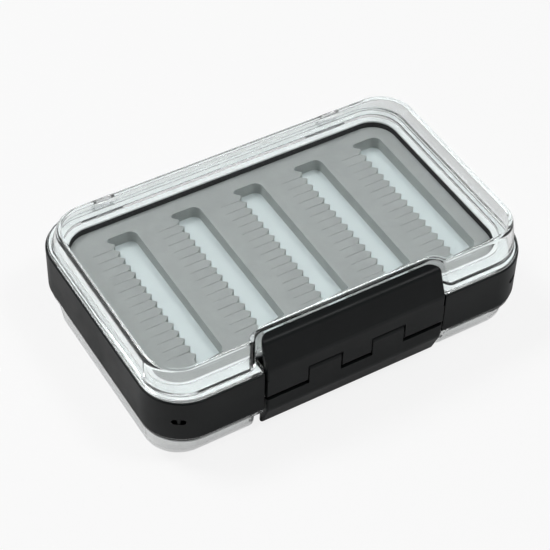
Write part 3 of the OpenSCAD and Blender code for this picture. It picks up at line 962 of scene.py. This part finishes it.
def make_latches(s, materials):
    """Both latches: each plate with its own knuckles, which lie between the other's."""
    near = MID_KNUCKLE / 2
    far = near + KNUCKLE_GAP + NEXT_KNUCKLE + KNUCKLE_GAP
    spans = {"upper": [(-LATCH_HALF, -far), (-near, near), (far, LATCH_HALF)],
             "lower": [(-far + KNUCKLE_GAP, -near - KNUCKLE_GAP),
                       (near + KNUCKLE_GAP, far - KNUCKLE_GAP)]}
    for name, body, side in SIDES:
        piece = new_mesh(f"{name}_latch_plate", latch_plate(s), side)
        # The other latch's knuckles swing past behind the plate's edge
        carve(piece, "DIFFERENCE", rod(PIN_Y, 0, SWEEP_R, -2 * LATCH_HALF, 2 * LATCH_HALF), side)
        carve(piece, "UNION", merged(*[latch_knuckle(s, *span) for span in spans[name]]), side)
        bore = rod(PIN_Y, 0, s.pin_radius + PIN_CLEAR, -LATCH_HALF - PAST, LATCH_HALF + PAST)
        carve(piece, "DIFFERENCE", bore, side)
        soften(piece)
        finish_piece(piece, materials["abs"], f"{body}_latch", f"{name}_latch")


# ---- Stage ----

# The camera's turn from straight ahead, its rise and its roll, in degrees
CAMERA_TURN = -31.91
CAMERA_RISE = 45.83
CAMERA_ROLL = 1.85
CAMERA_DISTANCE = 654.3 * MM
CAMERA_TARGET = Vector((-5.58 * MM, FRONT_Y + 46.0 * MM, MID_Z))
CAMERA_LENS = 118.85
# Lamps: name, turn and rise in degrees, distance and size in metres, watts
LAMPS = (("key", -140, 56, 1.3, 0.42, 7), ("edge", 48, 60, 1.3, 0.3, 4),
         ("top", 60, 84, 1.3, 0.8, 2))
# How much of its own white the floor shows to each kind of ray
FLOOR_WHITE = (("Is Camera Ray", 0.85), ("Is Transmission Ray", 0.5), ("Is Glossy Ray", 0.05))
FLOOR_HALF = 4  # metres
FLOOR_CELLS = 8
# Strength of the room's light low down and overhead
WORLD_LEVEL = 0.051
WORLD_CEILING = 0.038
# Its strength seen through the lids, and mirrored at the horizon
WORLD_THROUGH = 0.15
WORLD_HORIZON = 0.8


def outwards(turn, rise):
    """The direction from the box at a turn from straight ahead and a rise, in degrees."""
    a, e = radians(turn), radians(rise)
    return Vector((sin(a) * cos(e), -cos(a) * cos(e), sin(e)))


def add_camera():
    """The camera stands where the photograph was taken from: a turn and a rise round the
    target, a distance, and a small roll."""
    back, roll = outwards(CAMERA_TURN, CAMERA_RISE), radians(CAMERA_ROLL)
    right = (-back).cross(Vector((0, 0, 1))).normalized()
    up = right.cross(-back)
    across = right * cos(roll) + up * sin(roll)
    above = up * cos(roll) - right * sin(roll)
    data = bpy.data.cameras.new("camera")
    data.lens = CAMERA_LENS
    data.sensor_width = 36.0
    data.clip_start = 0.01
    camera = put("camera", data)
    camera.matrix_world = Matrix.Translation(CAMERA_TARGET + back * CAMERA_DISTANCE) @ Matrix(
        (across, above, back)).transposed().to_4x4()
    bpy.context.scene.camera = camera


def add_lamp(name, turn, rise, distance, size, power):
    """A square softbox that looks at the box from a turn and a rise."""
    data = bpy.data.lights.new(name, "AREA")
    data.shape = "SQUARE"
    data.size = size
    data.energy = power
    lamp, back = put(name, data), outwards(turn, rise)
    lamp.location = Vector((0, 0, MID_Z)) + back * distance
    lamp.rotation_mode = "QUATERNION"
    lamp.rotation_quaternion = back.to_track_quat("Z", "Y")


def add_floor(colours):
    """Pale floor: white to the camera, with the object's shadow kept on it."""
    material, tree, shader = new_material("studio_floor")
    fixed(shader, Base_Color=(*colours.floor, 1), Roughness=0.9, Specular_IOR_Level=0.0)
    glow = add(tree, "ShaderNodeEmission", Strength_in=1.0)
    path = add(tree, "ShaderNodeLightPath")
    share = greatest(tree, *[product(tree, path.outputs[ray], part)
                             for ray, part in FLOOR_WHITE])
    surface(tree, share, shader.outputs["BSDF"], glow.outputs["Emission"])
    row = FLOOR_CELLS + 1
    grid = np.linspace(-FLOOR_HALF, FLOOR_HALF, row)
    x, y = np.meshgrid(grid, grid)
    points = np.stack([x.ravel(), y.ravel(), np.zeros(x.size)], 1)
    corner = (np.arange(FLOOR_CELLS)[:, None] * row + np.arange(FLOOR_CELLS)).ravel()
    faces = np.stack([corner, corner + 1, corner + row + 1, corner + row], 1)
    mesh = bpy.data.meshes.new("studio_floor")
    mesh.from_pydata(points.tolist(), [], faces.tolist())
    mesh.materials.append(material)
    put("studio_floor", mesh)


def add_world():
    """A dim room that is white to the camera, pale through the lids, and has a bright band
    along the horizon for what mirrors it."""
    world = bpy.data.worlds.new("studio")
    bpy.context.scene.world = world
    world.use_nodes = True
    tree = world.node_tree
    background = tree.nodes["Background"]
    background.inputs["Color"].default_value = (1, 1, 1, 1)
    direction = add(tree, "ShaderNodeTexCoord").outputs["Generated"]
    height = add(tree, "ShaderNodeSeparateXYZ", {"Vector": direction}).outputs["Z"]
    level = ramp(tree, height, 0.1, 0.75, WORLD_LEVEL, WORLD_CEILING)
    path = add(tree, "ShaderNodeLightPath")
    clear = product(tree, path.outputs["Is Transmission Ray"], WORLD_THROUGH)
    horizon = ramp(tree, height, 0.25, 0.5, WORLD_HORIZON, 0)
    band = add(tree, "ShaderNodeMath", {0: path.outputs["Is Glossy Ray"], 1: horizon},
               operation="MULTIPLY").outputs[0]
    strength = greatest(tree, level, path.outputs["Is Camera Ray"], clear, band)
    tree.links.new(strength, background.inputs["Strength"])


# ---- Add-on ----


MATERIALS = {}


def workshop(context):
    """The sizes and the finishes that the pieces are made with."""
    return context.scene.fly_box_sizes, MATERIALS


class FLYBOX_OT_materials(bpy.types.Operator):
    """Make the finishes of all the pieces"""

    bl_idname = "fly_box.materials"
    bl_label = "Finishes"

    def execute(self, context):
        colours = context.scene.fly_box_colours
        MATERIALS.update(abs=moulded_abs(colours), lid=clear_polycarbonate(colours),
                         foam=closed_cell_foam(colours), panel=pale_sheet(colours),
                         seal=silicone_rubber(colours), glue=adhesive_film(colours),
                         wire=drawn_wire(colours))
        return {"FINISHED"}


class FLYBOX_OT_frame(bpy.types.Operator):
    """Make the black frame with its notches, knuckles and cord pockets"""

    bl_idname = "fly_box.frame"
    bl_label = "Frame"

    def execute(self, context):
        make_frame(*workshop(context))
        dress("divider_panel", MATERIALS["panel"])
        return {"FINISHED"}


class FLYBOX_OT_foam(bpy.types.Operator):
    """Make the two slotted foams and dress the adhesive under them"""

    bl_idname = "fly_box.foam"
    bl_label = "Foam"

    def execute(self, context):
        make_foam(*workshop(context))
        for name, *_ in SIDES:
            dress(f"{name}_adhesive", MATERIALS["glue"])
        return {"FINISHED"}


class FLYBOX_OT_lids(bpy.types.Operator):
    """Make the two clear lids and dress their seals and hinge pins"""

    bl_idname = "fly_box.lids"
    bl_label = "Lids"

    def execute(self, context):
        make_lids(*workshop(context))
        for name, *_ in SIDES:
            dress(f"{name}_gasket", MATERIALS["seal"])
            for end in ("left", "right"):
                dress(f"{name}_hinge_pin_{end}", MATERIALS["wire"])
        return {"FINISHED"}


class FLYBOX_OT_latches(bpy.types.Operator):
    """Make the two latches and dress their pin"""

    bl_idname = "fly_box.latches"
    bl_label = "Latches"

    def execute(self, context):
        make_latches(*workshop(context))
        dress("latch_pin", MATERIALS["wire"])
        return {"FINISHED"}


class FLYBOX_OT_stage(bpy.types.Operator):
    """Set up the floor, the light and the camera"""

    bl_idname = "fly_box.stage"
    bl_label = "Stage"

    def execute(self, context):
        add_camera()
        add_floor(context.scene.fly_box_colours)
        add_world()
        for lamp in LAMPS:
            add_lamp(*lamp)
        context.scene.view_settings.view_transform = "Standard"
        return {"FINISHED"}


OPERATORS = (FLYBOX_OT_materials, FLYBOX_OT_frame, FLYBOX_OT_foam, FLYBOX_OT_lids,
             FLYBOX_OT_latches, FLYBOX_OT_stage)


class FLYBOX_PT_panel(bpy.types.Panel):
    """Sidebar panel with every step, its sizes and its colours."""

    bl_label = "Fly Box"
    bl_space_type = "VIEW_3D"
    bl_region_type = "UI"
    bl_category = "Fly Box"

    def draw(self, context):
        for operator in OPERATORS:
            self.layout.operator(operator.bl_idname)
        for group in (context.scene.fly_box_sizes, context.scene.fly_box_colours):
            for name in group.__annotations__:
                self.layout.prop(group, name)


CLASSES = (FlyBoxSizes, FlyBoxColours, *OPERATORS, FLYBOX_PT_panel)


def register():
    """Adds the classes, and the sizes and colours to every scene."""
    for cls in CLASSES:
        bpy.utils.register_class(cls)
    bpy.types.Scene.fly_box_sizes = PointerProperty(type=FlyBoxSizes)
    bpy.types.Scene.fly_box_colours = PointerProperty(type=FlyBoxColours)


def unregister():
    """Takes them away again."""
    del bpy.types.Scene.fly_box_colours
    del bpy.types.Scene.fly_box_sizes
    for cls in reversed(CLASSES):
        bpy.utils.unregister_class(cls)


def main():
    """Builds every piece and the stage."""
    register()
    bpy.ops.fly_box.materials()
    bpy.ops.fly_box.frame()
    bpy.ops.fly_box.foam()
    bpy.ops.fly_box.lids()
    bpy.ops.fly_box.latches()
    bpy.ops.fly_box.stage()


if __name__ == "__main__":
    main()
